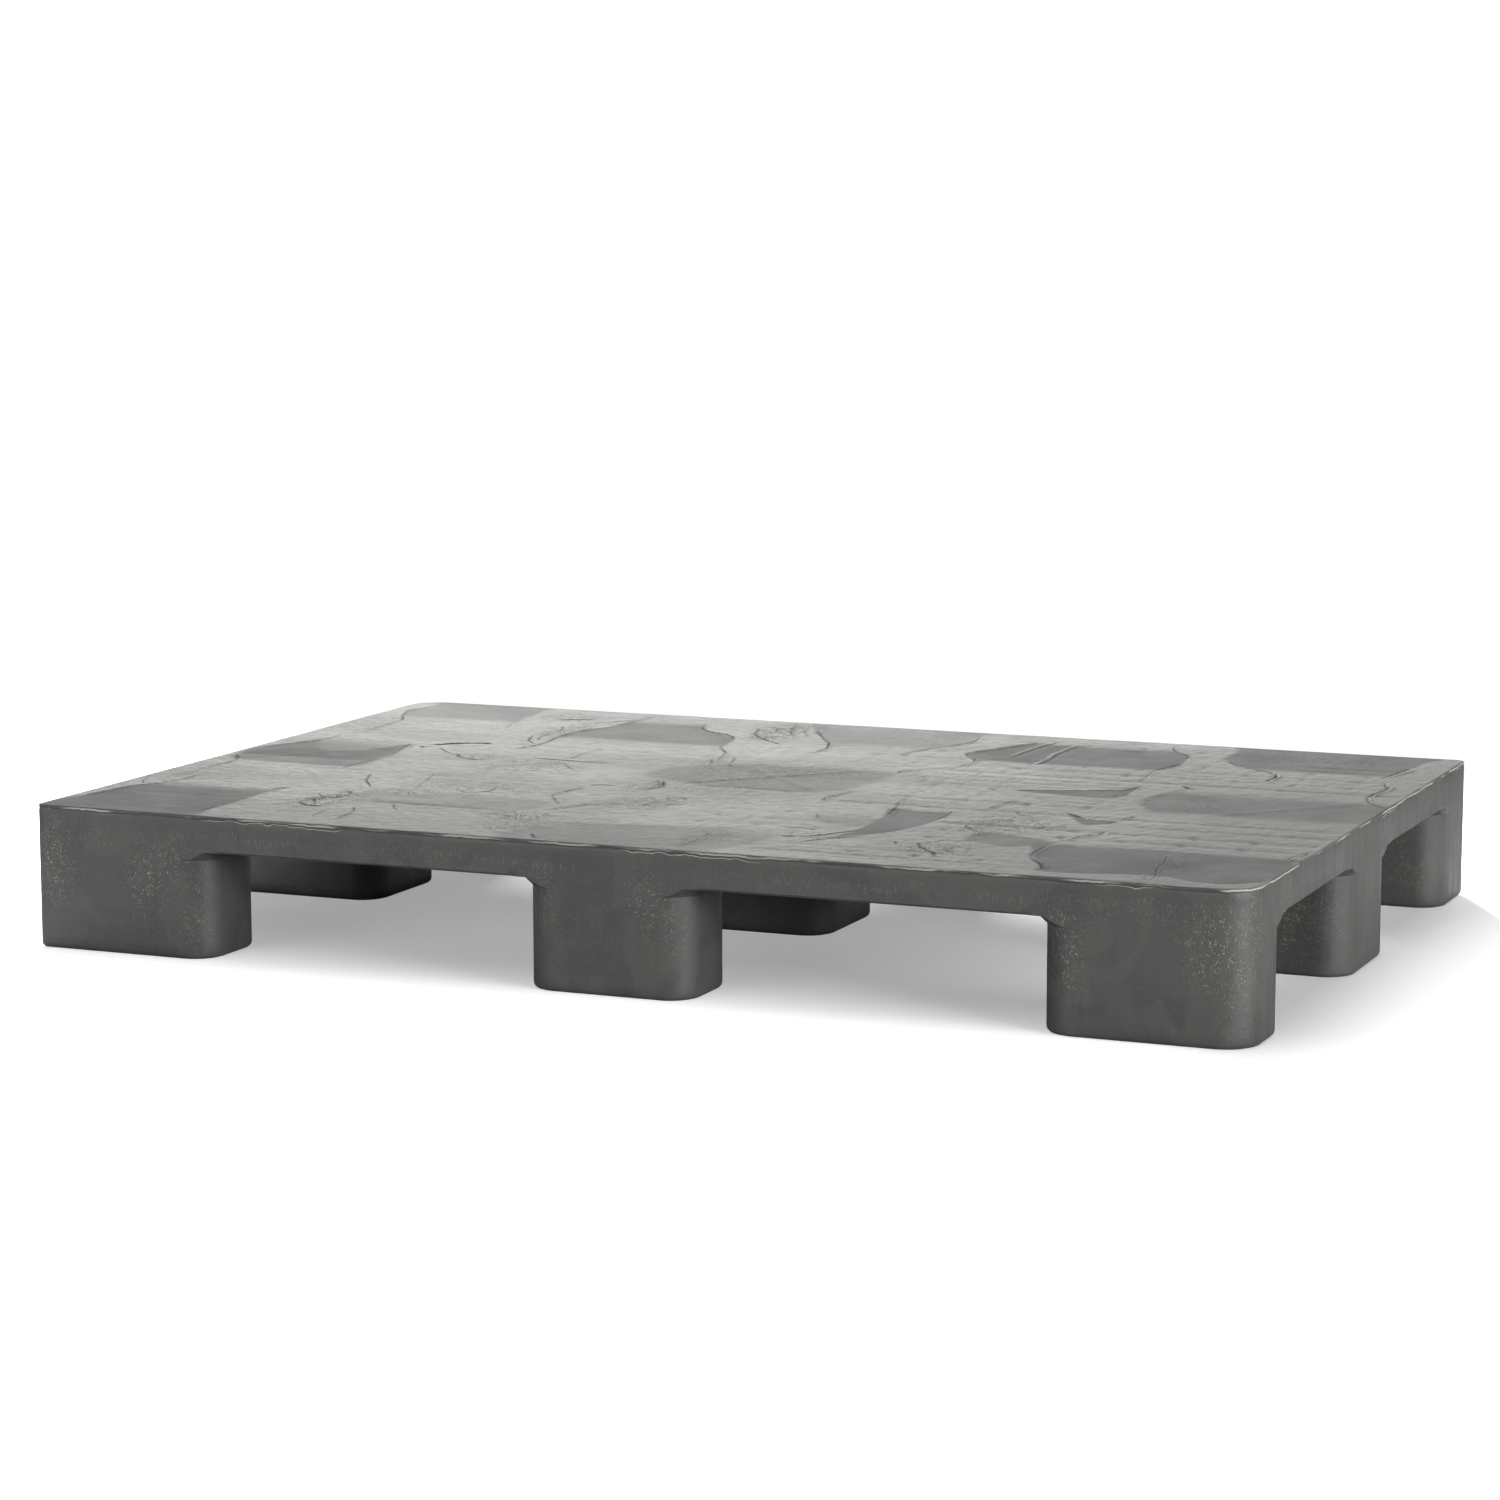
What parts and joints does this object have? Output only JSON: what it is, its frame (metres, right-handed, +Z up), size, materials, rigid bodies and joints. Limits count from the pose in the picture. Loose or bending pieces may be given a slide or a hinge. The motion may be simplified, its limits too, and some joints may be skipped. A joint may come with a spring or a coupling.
{
  "type": "plastic pallet",
  "caption": "Low four-way-entry plastic pallet: a smooth closed deck on block feet, ribbed underneath, with steel tubes held in channels under the deck.",
  "frame": {"origin": "on the floor, under the middle of the pallet", "axes": "+X along the long side to the right, +Y from the front long side to the rear one, +Z up"},
  "size_m": [1.2, 0.8, 0.14],
  "materials": {
    "recycled_plastic": "dark grey recycled plastic, satin, with flow marks",
    "galvanised_steel": "zinc-coated steel tube, dull, faintly spangled",
    "plug_plastic": "black moulded plastic, satin",
    "retainer_plastic": "charcoal moulded plastic, satin"
  },
  "bodies": {
    "root": {"deck": "recycled_plastic", "foot_front_left": "recycled_plastic", "foot_front_middle": "recycled_plastic", "foot_front_right": "recycled_plastic", "foot_middle_left": "recycled_plastic", "foot_centre": "recycled_plastic", "foot_middle_right": "recycled_plastic", "foot_rear_left": "recycled_plastic", "foot_rear_middle": "recycled_plastic", "foot_rear_right": "recycled_plastic", "reinforcement_tube_front": "galvanised_steel", "reinforcement_tube_rear": "galvanised_steel", "tube_end_plug_front_left": "plug_plastic", "tube_end_plug_front_right": "plug_plastic", "tube_end_plug_rear_left": "plug_plastic", "tube_end_plug_rear_right": "plug_plastic", "tube_retainer_front_left": "retainer_plastic", "tube_retainer_front_middle": "retainer_plastic", "tube_retainer_front_right": "retainer_plastic", "tube_retainer_rear_left": "retainer_plastic", "tube_retainer_rear_middle": "retainer_plastic", "tube_retainer_rear_right": "retainer_plastic"}
  },
  "joints": []
}
